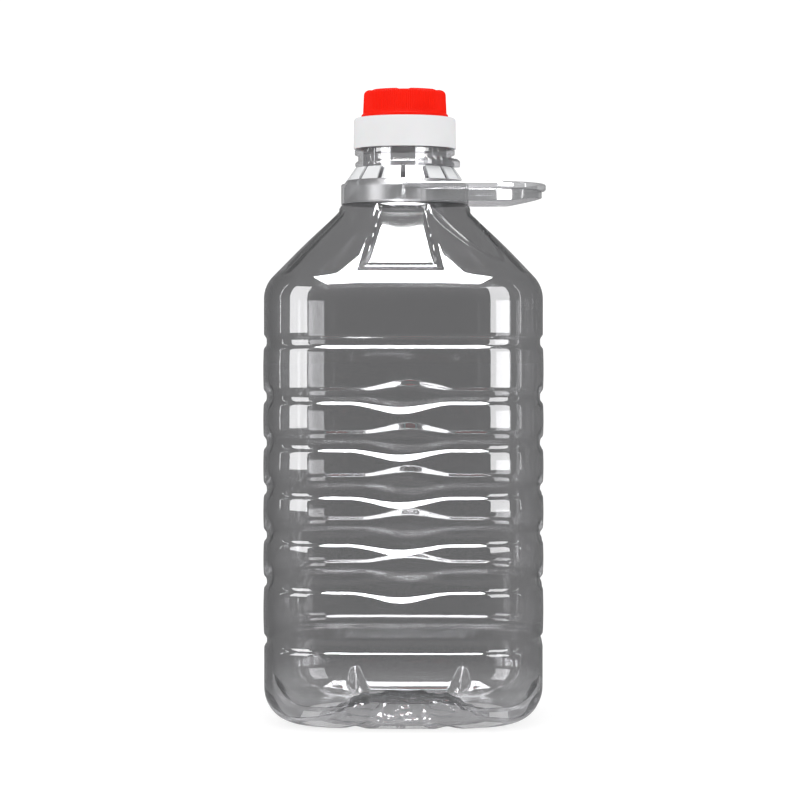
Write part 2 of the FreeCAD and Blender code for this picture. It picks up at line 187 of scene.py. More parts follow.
# Mesh density
FACE_COLUMNS = (6, 18, 10)  # from a face's middle: up to its fine part, over it, on to the corner
FINE_TURN = np.radians((13.5, 25.5))  # the fine part, which holds a panel's side and a rib
GATE_ROWS = 14
BASE_ROWS = 34
HEEL_ROWS = 22
SHOULDER_ROWS = 14
SLOPE_ROWS = 50
NECK_ROWS = 7
FINE_STEP = 0.75 * MM  # between the straight wall's rows, near a groove
COARSE_STEP = 2.5 * MM  # and away from them
GROOVE_ZONE = 5.5 * MM  # how far a plain groove's fine rows reach up and down
WAVE_ZONE = 10.8 * MM
TURNED_COLUMNS = 192
COLLAR_COLUMNS = 256
RING_COLUMNS = 240
FINGER_COLUMNS = 13
TOOTH_COLUMNS = 12
CAP_RIB_COLUMNS = 8
CAP_STEP = 0.8 * MM
LOOP_SIDE_ROWS = 30
LOOP_END_ROWS = 65
SHARP_ANGLE = math.radians(50)
SUPPORT = 0.2 * MM  # from a corner to the point that keeps a flat stretch beside it flat

# Clear plastic
FACE_ON = 0.06  # share of light that a thin clear wall mirrors when seen face on
GRAZING = 0.6  # and when seen along it
GRAZING_POWER = 5.0
INNER_GAIN = 0.24  # how much more its inner side mirrors
TILTED = 0.13  # how far from face on a groove's flank is, as Layer Weight's Facing
HAZE = (0.85, 0.86, 0.87, 1.0)
RIPPLE_STRENGTH = 0.1
RIPPLE_DEPTH = 0.2 * MM
RIPPLE_DETAIL = 2.0
BASE_LOW = 10 * MM  # the jug's wall is at its clearest below this height
BASE_TOP = 22 * MM  # and plain above this one
CRINKLE_SCALE = 170  # of the crinkles inside the standing ring
CRINKLE_DEPTH = 1.6 * MM
CRINKLE_FADE = 4 * MM

# Moulded plastic
PLASTIC_IOR = 1.48
SCATTER_SHARE = 0.08
SCATTER_DEPTH = 2 * MM
MOTTLE_FROM, MOTTLE_TO = 0.3, 0.7
MOTTLE_DETAIL = 4.0
GRAIN_SCALE = 1800
GRAIN_STRENGTH = 0.1
GRAIN_DEPTH = 0.05 * MM
WHITE = (1.0, 1.0, 1.0, 1.0)

# Studio: the floor's light adds up to the world's, so that no horizon shows through the jug
FLOOR_REACH = 60.0
FLOOR_COLOUR = (0.3, 0.3, 0.3, 1.0)
FLOOR_GLOW = 0.76
WORLD_WHITE = 1.1
WORLD_MIRRORED = 0.3
OVERHEAD_PLACE = (0, -0.459, 1.25)
OVERHEAD_SIZE = (0.88, 0.857)
OVERHEAD_RADIANCE = 38
KEY_PLACE = (-0.3, -1.4, 1.3)
KEY_TARGET = (0, 0, 0.3)
KEY_SIZE = (1.0, 1.0)
KEY_RADIANCE = 0.7
STRIP_DISTANCE = 1.2
STRIP_Z = 0.62
STRIP_HEIGHT = 1.06
# name, degrees round from the camera, width and radiance
STRIPS = (
    ("strip_left", -54.5, 0.62, 10),
    ("strip_right", 43.0, 0.60, 9),
    ("glint_left", -93.0, 0.045, 9),
    ("glint_right", 82.0, 0.045, 5),
)

# Camera
CAMERA_AZIMUTH = 1.8
CAMERA_DISTANCE = 1.5
CAMERA_HEIGHT = 0.196
CAMERA_TARGET = (-2.6 * MM, 0, 171.2 * MM)
CAMERA_SENSOR = 36.0
CAMERA_LENS = 124.3


def smooth(share):
    """0 to 1 with no slope at either end, for numbers and arrays."""
    share = np.clip(share, 0.0, 1.0)
    return share * share * (3.0 - 2.0 * share)


def ramp(share):
    """0 to 1 in a straight slope with a short curve at either end."""
    share = np.clip(share, 0.0, 1.0)
    top = 1.0 / (1.0 - RAMP_CURVE)
    start = top * share**2 / (2 * RAMP_CURVE)
    end = 1.0 - top * (1.0 - share) ** 2 / (2 * RAMP_CURVE)
    middle = top * (share - RAMP_CURVE / 2)
    return np.where(share < RAMP_CURVE, start, np.where(share > 1.0 - RAMP_CURVE, end, middle))


def slope_z(half_width):
    """Height of the shoulder's slope at a half-width."""
    return CORNER_Z + (HALF_WIDTH - half_width) / math.tan(SLOPE)


# ---------------------------------------------------------------- the blown wall
# A station is a place on the outline of a face's middle: half-width, height and the direction
# in which the outline goes on there.

def arc(centre, radius, start_deg, end_deg, count):
    """Stations along an arc, both ends included."""
    turn = np.radians(np.linspace(start_deg, end_deg, count))
    sense = 1.0 if end_deg > start_deg else -1.0
    across, up = np.cos(turn), np.sin(turn)
    half_width, z = centre[0] + radius * across, centre[1] + radius * up
    return np.stack([half_width, z, -sense * up, sense * across], 1)


def straight(start, end, count):
    """Stations along a straight stretch of the outline, both ends left out."""
    start, end = np.array(start), np.array(end)
    along = (end - start) / np.linalg.norm(end - start)
    share = np.linspace(0.0, 1.0, count + 2)[1:-1, None]
    points = start + (end - start) * share
    return np.concatenate([points, np.broadcast_to(along, points.shape)], 1)


def base_stations():
    """The outline under the base, from the gate mark out to the standing ring."""
    share = np.linspace(0.0, 1.0, BASE_ROWS)
    run = PUSH_UP_HALF_WIDTH - GATE_RADIUS
    fall = -PUSH_UP * 6.0 * share * (1.0 - share) / run
    length = np.hypot(1.0, fall)
    height = PUSH_UP * (1.0 - smooth(share))
    return np.stack([GATE_RADIUS + run * share, height, 1.0 / length, fall / length], 1)


def groove_heights():
    """Height of each groove, and whether it opens into a wave."""
    wavy = [(z, True) for z in np.linspace(WAVY_BOTTOM_Z, WAVY_TOP_Z, WAVY_GROOVES)]
    return [(BOTTOM_GROOVE_Z, False)] + wavy + [(TOP_GROOVE_Z, False)]


def zone_distance(z):
    """How far a height is from the nearest groove's zone, below 0 inside one."""
    distances = []
    for groove_z, wavy in groove_heights():
        distances.append(abs(z - groove_z) - (WAVE_ZONE if wavy else GROOVE_ZONE))
    return min(distances)


def wall_stations(low, high):
    """Stations up the straight wall, close together in the grooves, both ends left out."""
    z, heights = low, []
    while True:
        away = zone_distance(z)
        z += FINE_STEP if away < 0 else min(max(away, FINE_STEP), COARSE_STEP)
        if z > high - FINE_STEP:
            break
        heights.append(z)
    return np.array([(HALF_WIDTH, z, 0.0, 1.0) for z in heights])


def side_stations():
    """The outline on a face's middle, from the standing ring up to the foot of the neck tube."""
    slope_deg = math.degrees(SLOPE)
    wall_top = CORNER_Z - SHOULDER_RADIUS * math.tan(SLOPE / 2)
    heel = arc((STAND_HALF_WIDTH, HEEL_RADIUS), HEEL_RADIUS, -90, 0, HEEL_ROWS)
    wall = wall_stations(HEEL_RADIUS, wall_top)
    shoulder_centre = (HALF_WIDTH - SHOULDER_RADIUS, wall_top)
    shoulder = arc(shoulder_centre, SHOULDER_RADIUS, 0, slope_deg, SHOULDER_ROWS)
    hollow = NECK_BLEND_RISE / math.tan(SLOPE / 2)
    neck_centre = (NECK_RADIUS + hollow, NECK_FOOT_Z + NECK_BLEND_RISE)
    neck = arc(neck_centre, hollow, 180 + slope_deg, 180, NECK_ROWS)
    slope = straight(shoulder[-1, :2], neck[0, :2], SLOPE_ROWS)
    top = np.array([[NECK_RADIUS, TUBE_Z, 0.0, 1.0]])
    return np.concatenate([heel, wall, shoulder, slope, neck, top])


def exponent_at(half_width, z):
    """The section is squarest on the straight wall, and a circle at the neck and the gate mark."""
    round_width = np.where(z > HEEL_RADIUS, ROUND_FROM, GATE_RADIUS)
    square = (half_width - round_width) / (HALF_WIDTH - round_width)
    return 2.0 + (BODY_EXPONENT - 2.0) * smooth(square)


def groove_relief(along, z):
    """Depth of the grip grooves at a distance along a face from its middle."""
    wave = 0.5 + 0.5 * np.cos(math.pi * np.clip(along / WAVE_HALF_WIDTH, -1, 1))
    depth = np.zeros_like(z)
    for groove_z, wavy in groove_heights():
        share = wave if wavy else 0.0
        bottom = GROOVE_DEPTH + (WAVE_DEPTH - GROOVE_DEPTH) * share
        upper = UPPER_FLANK + (WAVE_UPPER_FLANK - UPPER_FLANK) * share
        lower = LOWER_FLANK + (WAVE_LOWER_FLANK - LOWER_FLANK) * share
        flank = np.where(z > groove_z, upper, lower)
        reach = np.where(z > groove_z, UPPER_REACH, LOWER_REACH) + WAVE_REACH_GAIN * share
        inside = reach + flank / 2 - np.abs(z - groove_z)
        depth = np.maximum(depth, bottom * ramp(inside / flank))
    return depth


def crown_relief(z):
    """What is left off the wall so that it swells only midway between two neighbouring grooves."""
    heights = [height for height, _ in groove_heights()]
    relief = np.full_like(z, BAND_CROWN)
    for low, high in zip(heights, heights[1:]):
        swell = BAND_CROWN * (1.0 - np.sin(math.pi * (z - low) / (high - low)))
        relief = np.where((z > low) & (z < high), swell, relief)
    return relief


def panel_relief(along, round_off, z):
    """The flat panel pressed into each face of the shoulder, with a groove round its edge."""
    rise = z - CORNER_Z - PANEL_RISE
    half = PANEL_BOTTOM_HALF + (PANEL_TOP_HALF - PANEL_BOTTOM_HALF) * rise / PANEL_HEIGHT
    inset = PANEL_BOTTOM_INSET + (PANEL_TOP_INSET - PANEL_BOTTOM_INSET) * rise / PANEL_HEIGHT
    inward = np.minimum(half - np.abs(along), np.minimum(rise, PANEL_HEIGHT - rise))
    flat = (inset - round_off) * math.cos(SLOPE)
    panel = flat * smooth(inward / (2 * PANEL_GROOVE_HALF) + 0.5)
    groove = PANEL_GROOVE_DEPTH * np.clip(1.0 - np.abs(inward) / PANEL_GROOVE_HALF, 0.0, 1.0)
    return panel + groove


def rib_relief(angle, half_width, z):
    """Depth of the radial ribs that part the feet and run up the heel."""
    pitch = 2 * math.pi / RIB_COUNT
    away = np.abs(angle % pitch - pitch / 2) * half_width
    on_heel = half_width > PUSH_UP_HALF_WIDTH
    start = smooth((half_width - GATE_RADIUS) / (PUSH_UP_HALF_WIDTH - GATE_RADIUS))
    rise = np.clip(1.0 - z / RIB_TOP_Z, 0.0, 1.0)
    along = np.where(on_heel, rise, start)
    narrowed = RIB_TOP_WIDTH_SHARE + (1.0 - RIB_TOP_WIDTH_SHARE) * rise
    half = RIB_HALF_WIDTH * np.where(on_heel, narrowed, 1.0)
    lift = RIB_FOOT_SHARE + (1.0 - RIB_FOOT_SHARE) * smooth(z / RIB_FOOT_HEIGHT)
    return RIB_DEPTH * lift * ramp(1.0 - away / half) * smooth(along / RIB_END_SHARE)


def fold_relief(angle, half_width):
    """Depth of the uneven folds that blowing leaves in the push-up."""
    inner = smooth((half_width - GATE_RADIUS) / FOLD_PITCH)
    outer = smooth((PUSH_UP_HALF_WIDTH - half_width) / FOLD_PITCH)
    first = FOLD_SWAY * np.sin(FOLD_SWAYS * angle)
    second = FOLD_SECOND_SWAY * np.sin(2 * FOLD_SWAYS * angle + FOLD_SECOND_PHASE)
    wave = 0.5 + 0.5 * np.sin(2 * math.pi * half_width / FOLD_PITCH + (first + second))
    return FOLD_DEPTH * wave * inner * outer


def wall_relief(angle, half_width, x, y, z):
    """How deep each place is pressed in from the plain rounded section."""
    # along a face, the smaller of x and y is the distance from the face's middle
    along = np.where(np.abs(x) < np.abs(y), x, y)
    round_off = half_width - np.maximum(np.abs(x), np.abs(y))
    fade = smooth((half_width - ROUND_FROM) / (HALF_WIDTH - ROUND_FROM))
    on_wall = groove_relief(along, z) + crown_relief(z)
    on_shoulder = panel_relief(along, round_off, z) + BAND_CROWN * fade
    crown = np.where(half_width > PUSH_UP_HALF_WIDTH, BAND_CROWN * smooth(z / HEEL_RADIUS), 0.0)
    on_base = rib_relief(angle, half_width, z) + fold_relief(angle, half_width) + crown
    off_wall = np.where(z < HEEL_RADIUS, on_base, on_shoulder)
    return np.where(half_width >= HALF_WIDTH, on_wall, off_wall)


def wall_angles():
    """Angles round the jug, close together where the panels' sides and the ribs are."""
    bounds = (0.0, *FINE_TURN, math.pi / 4)
    parts = [
        np.linspace(start, end, count, endpoint=False)
        for start, end, count in zip(bounds, bounds[1:], FACE_COLUMNS)
    ]
    half = np.concatenate(parts)
    face = np.concatenate([[-math.pi / 4], -half[:0:-1], half])
    return np.concatenate([face + turn * math.pi / 2 for turn in range(4)])


def wall_points(angle, stations):
    """A grid of points of the wall's skin, one row for each station."""
    half_width, z, across, up = [stations[:, i : i + 1] + 0 * angle for i in range(4)]
    angle = angle + 0 * z
    exponent = exponent_at(half_width, z)
    total = np.abs(np.cos(angle)) ** exponent + np.abs(np.sin(angle)) ** exponent
    reach = half_width * total ** (-1.0 / exponent)
    x, y = reach * np.sin(angle), reach * np.cos(angle)
    lean_x = np.sign(x) * np.abs(x / half_width) ** (exponent - 1.0)
    lean_y = np.sign(y) * np.abs(y / half_width) ** (exponent - 1.0)
    normal = np.stack([lean_x * up, lean_y * up, -across], -1)
    normal /= np.linalg.norm(normal, axis=-1, keepdims=True)
    relief = wall_relief(angle, half_width, x, y, z)
    points = np.stack([x, y, z], -1) - normal * relief[..., None]
    return points * [1, -1, 1]


# ---------------------------------------------------------------- mesh helpers

def new_piece(name, points, faces, material, nodes=()):
    """A smooth-shaded piece of the object that rides on it and stands for the CAD nodes named."""
    mesh = bpy.data.meshes.new(name)
    mesh.from_pydata([tuple(p) for p in points], [], [tuple(f) for f in faces])
    mesh.validate()
    mesh.shade_smooth()
    mesh.set_sharp_from_angle(angle=SHARP_ANGLE)
    piece = bpy.data.objects.new(name, mesh)
    bpy.context.scene.collection.objects.link(piece)
    mesh.materials.append(material)
    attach(piece, "root")
    if nodes:
        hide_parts(*nodes)
    return piece


def grid_faces(rows, columns, closed_rows=False, closed_columns=True):
    """Quads of a grid of points, rows by columns, either way joined end to end if closed."""
    faces = []
    for i in range(rows if closed_rows else rows - 1):
        for j in range(columns if closed_columns else columns - 1):
            a, b = i * columns + j, i * columns + (j + 1) % columns
            shift = ((i + 1) % rows - i) * columns
            faces.append((a, b, b + shift, a + shift))
    return faces


def fan(centre, ring, flip=False):
    """Triangles that close a ring of points round a centre point."""
    pairs = zip(ring, ring[1:] + ring[:1])
    return [(centre, a, b) if flip else (centre, b, a) for a, b in pairs]


def turned_points(outline, angles):
    """A grid of points, one row for each (radius, height) of the outline."""
    radius, z = outline[:, 0:1], outline[:, 1:2]
    return np.stack([radius * np.sin(angles), -radius * np.cos(angles), z + 0 * angles], -1)


def corner_arc(before, here, after, rounding, steps):
    """Points of the arc that rounds off a corner between two other places."""
    back, onward = before - here, after - here
    back, onward = back / np.linalg.norm(back), onward / np.linalg.norm(onward)
    half = math.acos(np.clip(back @ onward, -1, 1)) / 2
    reach = rounding / math.tan(half)
    middle = (back + onward) / np.linalg.norm(back + onward)
    centre = here + middle * rounding / math.sin(half)
    start, end = here + back * reach - centre, here + onward * reach - centre
    turn = math.acos(np.clip(start @ end / rounding**2, -1, 1))
    points = []
    for share in np.arange(steps + 1) / steps:
        a, b = math.sin((1 - share) * turn), math.sin(share * turn)
        points.append(centre + (start * a + end * b) / math.sin(turn))
    return points


def rounded_outline(corners, closed=True, steps=5):
    """A polygon of (radius, height, rounding) corners with each rounded corner as an arc."""
    places = [np.array(corner[:2]) for corner in corners]
    count = len(corners)
    outline = []
    for i, (*_, rounding) in enumerate(corners):
        if rounding <= 0 or (not closed and i in (0, count - 1)):
            outline.append(places[i])
        else:
            outline += corner_arc(places[i - 1], places[i], places[(i + 1) % count], rounding, steps)
    return np.array(outline)


def supported(outline):
    """A closed outline with points added near the ends of its long stretches."""
    steadied = []
    for start, end in zip(outline, np.roll(outline, -1, axis=0)):
        steadied.append(start)
        length = np.linalg.norm(end - start)
        if length > 4 * SUPPORT:
            step = (end - start) * SUPPORT / length
            steadied += [start + step, end - step]
    return np.array(steadied)


def turned_piece(name, corners, material, nodes=(), columns=TURNED_COLUMNS, span=None, steps=5):
    """A closed outline swept round the axis, all the way or over a span of two angles."""
    outline = supported(rounded_outline(corners, steps=steps))
    count = len(outline)
    if span is None:
        angles = np.linspace(0, 2 * math.pi, columns, endpoint=False)
    else:
        angles = np.linspace(*span, columns)
    points = turned_points(outline, angles).reshape(-1, 3)
    faces = grid_faces(count, columns, True, span is None)
    if span is not None:
        faces.append([i * columns for i in range(count)][::-1])
        faces.append([i * columns + columns - 1 for i in range(count)])
    return new_piece(name, points, faces, material, nodes)


# ---------------------------------------------------------------- materials

def grey(value):
    """An opaque neutral colour, very slightly cool."""
    return (value, value, value * 1.01, 1.0)


def new_material(name):
    """An empty node material: (material, nodes, link function, output node)."""
    material = bpy.data.materials.new(name)
    material.use_nodes = True
    tree = material.node_tree
    tree.nodes.clear()
    output = tree.nodes.new("ShaderNodeOutputMaterial")
    return material, tree.nodes, tree.links.new, output


def noise_at(nodes, link, scale, detail):
    """A Noise Texture node fixed to the object."""
    place = nodes.new("ShaderNodeTexCoord")
    noise = nodes.new("ShaderNodeTexNoise")
    noise.inputs["Scale"].default_value = scale
    noise.inputs["Detail"].default_value = detail
    link(place.outputs["Object"], noise.inputs["Vector"])
    return noise


def ripple(nodes, link, scale, strength, depth):
    """A Bump node over soft noise, for moulded plastic that isn't quite flat."""
    noise = noise_at(nodes, link, scale, RIPPLE_DETAIL)
    bump = nodes.new("ShaderNodeBump")
    bump.inputs["Strength"].default_value = strength
    bump.inputs["Distance"].default_value = depth
    link(noise.outputs["Fac"], bump.inputs["Height"])
    return bump


def calculate(nodes, link, operation, *values):
    """A Math node's output; each value is a number or another node's output."""
    node = nodes.new("ShaderNodeMath")
    node.operation = operation
    for socket, value in zip(node.inputs, values):
        if isinstance(value, (int, float)):
            socket.default_value = value
        else:
            link(value, socket)
    return node.outputs[0]


def falling(nodes, link, value, low, high):
    """1 where a value is under low, falling to 0 where it is over high."""
    fall = nodes.new("ShaderNodeMapRange")
    fall.inputs["From Min"].default_value = high
    fall.inputs["From Max"].default_value = low
    link(value, fall.inputs["Value"])
    return fall.outputs["Result"]


def base_shares(nodes, link):
    """How far a place belongs to the jug's base, and how far to what its standing ring holds."""
    place = nodes.new("ShaderNodeTexCoord")
    parts = nodes.new("ShaderNodeSeparateXYZ")
    link(place.outputs["Object"], parts.inputs[0])
    x, y, z = parts.outputs
    base = falling(nodes, link, z, BASE_LOW, BASE_TOP)
    x_squared = calculate(nodes, link, "MULTIPLY", x, x)
    squared = calculate(nodes, link, "MULTIPLY_ADD", y, y, x_squared)
    reach = calculate(nodes, link, "SQRT", squared)
    low, high = STAND_HALF_WIDTH - CRINKLE_FADE, STAND_HALF_WIDTH + CRINKLE_FADE
    inside = falling(nodes, link, reach, low, high)
    return base, calculate(nodes, link, "MULTIPLY", base, inside)


def tilt_tint(nodes, link, weight, tints):
    """The light let through when seen face on, on a groove's flank and along the surface."""
    face_on, tilted, along = tints
    tint = nodes.new("ShaderNodeValToRGB")
    elements = tint.color_ramp.elements
    elements[0].color = grey(face_on)
    elements[1].color = grey(along)
    elements.new(TILTED).color = grey(tilted)
    link(weight.outputs["Facing"], tint.inputs["Fac"])
    return tint.outputs["Color"]


def with_base(nodes, link, colour, bump, base_tint):
    """The wall's colour and bump, changed to a clearer tint and to crinkles at the base."""
    base, inside = base_shares(nodes, link)
    crinkle = ripple(nodes, link, CRINKLE_SCALE, 1.0, CRINKLE_DEPTH)
    link(inside, crinkle.inputs["Strength"])
    link(bump.outputs["Normal"], crinkle.inputs["Normal"])
    blend = nodes.new("ShaderNodeMix")
    blend.data_type = "RGBA"
    # a Mix node has one set of sockets for each data type, and these are its colours
    colour_a, colour_b, result = blend.inputs[6], blend.inputs[7], blend.outputs[2]
    colour_b.default_value = grey(base_tint)
    link(base, blend.inputs["Factor"])
    link(colour, colour_a)
    return result, crinkle


def mirror_share(nodes, link, weight):
    """The share of light mirrored: more when seen along, and more on the inner side."""
    side = nodes.new("ShaderNodeNewGeometry")
    steep = calculate(nodes, link, "POWER", weight.outputs["Facing"], GRAZING_POWER)
    share = calculate(nodes, link, "MULTIPLY_ADD", steep, GRAZING - FACE_ON, FACE_ON)
    return calculate(nodes, link, "MULTIPLY_ADD", side.outputs["Backfacing"], INNER_GAIN, share)


def mixed(nodes, link, share, first, second):
    """Two shaders mixed by a share, which is a number or another node's output."""
    mix = nodes.new("ShaderNodeMixShader")
    if isinstance(share, float):
        mix.inputs["Fac"].default_value = share
    else:
        link(share, mix.inputs["Fac"])
    link(first.outputs[0], mix.inputs[1])
    link(second.outputs[0], mix.inputs[2])
    return mix


def clear_plastic(name, tints, roughness, gloss, milk, ripple_scale, base_tint=None):
    """Thin clear plastic: it dims what is behind it by its tilt, and mirrors the lamps."""
    material, nodes, link, output = new_material(name)
    bump = ripple(nodes, link, ripple_scale, RIPPLE_STRENGTH, RIPPLE_DEPTH)
    weight = nodes.new("ShaderNodeLayerWeight")
    weight.inputs["Blend"].default_value = 0.5
    colour = tilt_tint(nodes, link, weight, tints)
    if base_tint:
        colour, bump = with_base(nodes, link, colour, bump, base_tint)
    link(bump.outputs["Normal"], weight.inputs["Normal"])
    through = nodes.new("ShaderNodeBsdfTransparent")
    link(colour, through.inputs["Color"])
    haze = nodes.new("ShaderNodeBsdfDiffuse")
    haze.inputs["Color"].default_value = HAZE
    body = mixed(nodes, link, milk, through, haze)
    mirror = nodes.new("ShaderNodeBsdfGlossy")
    mirror.inputs["Roughness"].default_value = roughness
    mirror.inputs["Color"].default_value = grey(gloss)
    link(bump.outputs["Normal"], mirror.inputs["Normal"])
    surface = mixed(nodes, link, mirror_share(nodes, link, weight), body, mirror)
    link(surface.outputs[0], output.inputs["Surface"])
    return material


def moulded_plastic(name, light, dark, roughness, gloss, mottle_scale):
    """Opaque moulded plastic with a faint mottle and a fine grain."""
    material, nodes, link, output = new_material(name)
    shader = nodes.new("ShaderNodeBsdfPrincipled")
    shader.inputs["Roughness"].default_value = roughness
    shader.inputs["IOR"].default_value = PLASTIC_IOR
    shader.inputs["Specular IOR Level"].default_value = gloss
    shader.inputs["Subsurface Weight"].default_value = SCATTER_SHARE
    shader.inputs["Subsurface Scale"].default_value = SCATTER_DEPTH
    noise = noise_at(nodes, link, mottle_scale, MOTTLE_DETAIL)
    mottle = nodes.new("ShaderNodeValToRGB")
    first, last = mottle.color_ramp.elements
    first.position, first.color = MOTTLE_FROM, dark
    last.position, last.color = MOTTLE_TO, light
    link(noise.outputs["Fac"], mottle.inputs["Fac"])
    link(mottle.outputs["Color"], shader.inputs["Base Color"])
    grain = ripple(nodes, link, GRAIN_SCALE, GRAIN_STRENGTH, GRAIN_DEPTH)
    link(grain.outputs["Normal"], shader.inputs["Normal"])
    link(shader.outputs[0], output.inputs["Surface"])
    return material


# name, tints by tilt, roughness, gloss, milkiness, scale of the ripples
wall_clear = clear_plastic("wall_clear", (0.358, 0.41, 0.38), 0.035, 1.0, 0.02, 30, base_tint=0.66)
neck_clear = clear_plastic("neck_clear", (0.75, 0.73, 0.66), 0.04, 1.0, 0.05, 60)
ring_clear = clear_plastic("ring_clear", (0.78, 0.76, 0.72), 0.3, 0.45, 0.14, 60)
finger_clear = clear_plastic("finger_clear", (0.9, 0.88, 0.8), 0.1, 1.0, 0.9, 60)
rim_clear = clear_plastic("rim_clear", (0.8, 0.75, 0.6), 0.06, 0.8, 0.2, 60)
web_clear = clear_plastic("web_clear", (0.72, 0.7, 0.66), 0.12, 0.7, 0.13, 60)
# name, the mottle's two colours, roughness, gloss, scale of the mottle
collar_white = moulded_plastic("collar_white", grey(0.74), grey(0.71), 0.38, 0.015, 40)
bright_red, deep_red = (0.9, 0.015, 0.004, 1.0), (0.84, 0.011, 0.003, 1.0)
cap_red = moulded_plastic("cap_red", bright_red, deep_red, 0.42, 0.02, 60)


# ---------------------------------------------------------------- the jug
# The corners of turned pieces are (radius, height, rounding).

def build_wall():
    """The whole blown body in one skin, closed under the base by the gate's little rings."""
    angles = wall_angles()
    base = base_stations()
    gate_z = base[0, 1]
    radius = np.linspace(0, GATE_RADIUS, GATE_ROWS + 2)[1:-1]
    depth = GATE_RING_DEPTH * np.sin(GATE_RINGS * math.pi * radius / GATE_RADIUS) ** 2
    gate = turned_points(np.stack([radius, gate_z - depth], 1), angles)
    stations = np.concatenate([base, side_stations()])
    grid = np.concatenate([gate, wall_points(angles, stations)])
    rows, columns = grid.shape[:2]
    points = np.concatenate([grid.reshape(-1, 3), [[0, 0, gate_z]]])
    faces = grid_faces(rows, columns) + fan(rows * columns, list(range(columns)))
    new_piece("jug_wall", points, faces, wall_clear, ["jug"])


def build_neck():
    """The neck tube with the bead over the handle and the flange under the collar."""
    flange_z = FLANGE_TOP_Z - FLANGE_THICKNESS
    bead, flange = TUBE_RADIUS + BEAD_REACH, TUBE_RADIUS + FLANGE_REACH
    lip_z = COLLAR_HIGH.z - COLLAR_DECK - SEAT_GAP
    corners = [
        (NECK_BORE, TUBE_Z, 0.5 * MM),
        (TUBE_RADIUS, TUBE_Z, 0.3 * MM),
        (TUBE_RADIUS, BEAD_Z, 0.2 * MM),
        (bead, BEAD_Z, 1.3 * MM),
        (bead, BEAD_Z + BEAD_THICKNESS, 1.3 * MM),
        (TUBE_RADIUS, BEAD_Z + BEAD_THICKNESS, 0.6 * MM),
        (TUBE_RADIUS, flange_z, 0.6 * MM),
        (flange, flange_z, 0.8 * MM),
        (flange, FLANGE_TOP_Z, 0.8 * MM),
        (FINISH_RADIUS, FLANGE_TOP_Z, 0.3 * MM),
        (FINISH_RADIUS, lip_z, 0.5 * MM),
        (NECK_BORE, lip_z, 0.5 * MM),
    ]
    turned_piece("neck_tube", corners, neck_clear)


def build_stop():
    """The stop beside the bead that keeps the handle from turning, with its row of teeth."""
    inner, outer = TUBE_RADIUS - STOP_ROOT, TUBE_RADIUS + STOP_REACH
    top = BEAD_Z + STOP_HEIGHT
    corners = [
        (inner, BEAD_Z, 0),
        (outer, BEAD_Z, 0.6 * MM),
        (outer, top - STOP_BEVEL_DROP, 0.6 * MM),
        (outer - STOP_BEVEL_REACH, top, 0.6 * MM),
        (inner, top, 0),
    ]
    start = math.pi / 2 - STOP_SPAN
    span = (start, math.pi / 2)
    columns = STOP_TEETH * TOOTH_COLUMNS + 1
    stop = turned_piece("handle_stop", corners, neck_clear, (), columns, span)
    for vertex in stop.data.vertices:
        angle = math.atan2(vertex.co.x, -vertex.co.y)
        share = ((angle - start) / STOP_SPAN * STOP_TEETH) % 1.0
        vertex.co.z -= TOOTH_DROP * share * smooth((vertex.co.z - BEAD_Z) / STOP_HEIGHT)


# ---------------------------------------------------------------- the caps

def build_collar():
    """The white screw collar."""
    bottom, top = COLLAR_LOW.z, COLLAR_HIGH.z
    bore = COLLAR_RADIUS - COLLAR_WALL
    corners = [
        (COLLAR_RADIUS, bottom, 0.3 * MM),
        (COLLAR_RADIUS - COLLAR_DRAFT, top, 1.4 * MM),
        (COLLAR_HOLE, top, 0.2 * MM),
        (COLLAR_HOLE, top - COLLAR_DECK, 0.2 * MM),
        (bore, top - COLLAR_DECK, 0.4 * MM),
        (bore, bottom, 0.3 * MM),
    ]
    turned_piece("collar", corners, collar_white, ["collar_cap"], COLLAR_COLUMNS)


def cap_outline():
    """The cap's outline up its side and in over its top, in short even steps."""
    bottom, top = CAP_LOW.z, CAP_HIGH.z
    shoulder = bottom + CAP_FLANGE_HEIGHT
    corners = [
        (CAP_RADIUS - CAP_FLANGE_EDGE, bottom, 0),
        (CAP_RADIUS, bottom + CAP_FLANGE_EDGE, 0.2 * MM),
        (CAP_RADIUS, shoulder, 0.5 * MM),
        (CAP_GRIP_RADIUS, shoulder, 0.2 * MM),
        (CAP_GRIP_RADIUS - CAP_TAPER, top, CAP_ROUND),
        (CAP_PLAIN_RADIUS, top, 0),
    ]
    outline = rounded_outline(corners, closed=False, steps=8)
    dense = [outline[0]]
    for point in outline[1:]:
        start = dense[-1]
        steps = max(1, round(np.linalg.norm(point - start) / CAP_STEP))
        dense += [start + (point - start) * k / steps for k in range(1, steps + 1)]
    return np.array(dense)


def cap_rib_depth(angles, z):
    """Depth of the fine ribs round the cap's grip."""
    low = CAP_LOW.z + CAP_FLANGE_HEIGHT + CAP_RIB_END
    high = CAP_HIGH.z - CAP_RIB_END
    fade = smooth((z - low) / CAP_RIB_FADE) * smooth((high - z) / CAP_RIB_FADE)
    return CAP_RIB_DEPTH * (0.5 - 0.5 * np.cos(CAP_RIBS * angles)) * fade


def cap_scoop_z(angles, radius):
    """Height of the scoops' floor, which is the cap's top away from them."""
    top = CAP_HIGH.z
    pitch = 2 * math.pi / CAP_SCOOPS
    beside = np.abs(np.sin((angles + pitch / 2) % pitch - pitch / 2) * radius)
    beside = np.clip(beside, 0, CAP_SCOOP_RADIUS)
    hollow = CAP_SCOOP_RADIUS - np.sqrt(CAP_SCOOP_RADIUS**2 - beside**2)
    return np.where(radius > CAP_SCOOP_START, top - CAP_SCOOP_DEPTH + hollow, top)


